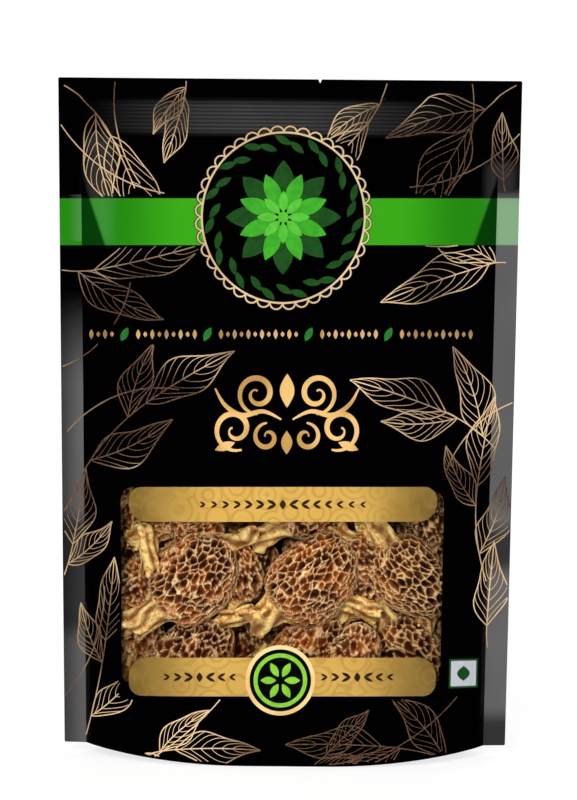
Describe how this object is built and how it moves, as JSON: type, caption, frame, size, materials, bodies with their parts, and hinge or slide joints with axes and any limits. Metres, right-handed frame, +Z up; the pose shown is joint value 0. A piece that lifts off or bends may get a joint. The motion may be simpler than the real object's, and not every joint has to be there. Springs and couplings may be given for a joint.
{
  "type": "stand-up pouch of dried morels",
  "caption": "Zipped stand-up pouch of glossy black film with a bottom gusset, gold labels and a clear window over the dried morels inside.",
  "frame": {"origin": "on the ground, under the middle of the pouch", "axes": "+Z up the pouch towards its mouth, -Y out of its front, +X to the right of someone who faces the front"},
  "size_m": [0.16, 0.0409, 0.24],
  "materials": {
    "black_film": "glossy printed laminate film",
    "clear_film": "clear glossy film",
    "zip_plastic": "smooth moulded strip under the film",
    "gold_label": "satin gold print with a tone-on-tone scroll pattern",
    "seal_foil": "satin pale gold, with a black and green device",
    "dried_morel": "dry, dark pits between thin pale ridges"
  },
  "bodies": {
    "root": {"front_panel": "black_film", "back_panel": "black_film", "bottom_gusset": "black_film", "window_pane": "clear_film", "zip_front": "zip_plastic", "zip_back": "zip_plastic", "banner_top": "gold_label", "banner_low": "gold_label", "round_seal": "seal_foil", "morel_01": "dried_morel", "morel_02": "dried_morel", "morel_03": "dried_morel", "morel_04": "dried_morel", "morel_05": "dried_morel", "morel_06": "dried_morel", "morel_07": "dried_morel", "morel_08": "dried_morel", "morel_09": "dried_morel", "morel_10": "dried_morel", "morel_11": "dried_morel", "morel_12": "dried_morel", "morel_13": "dried_morel", "morel_14": "dried_morel", "morel_15": "dried_morel", "morel_16": "dried_morel", "morel_17": "dried_morel", "morel_18": "dried_morel", "morel_19": "dried_morel", "morel_20": "dried_morel", "morel_21": "dried_morel", "morel_22": "dried_morel", "morel_23": "dried_morel", "morel_24": "dried_morel"}
  },
  "joints": []
}
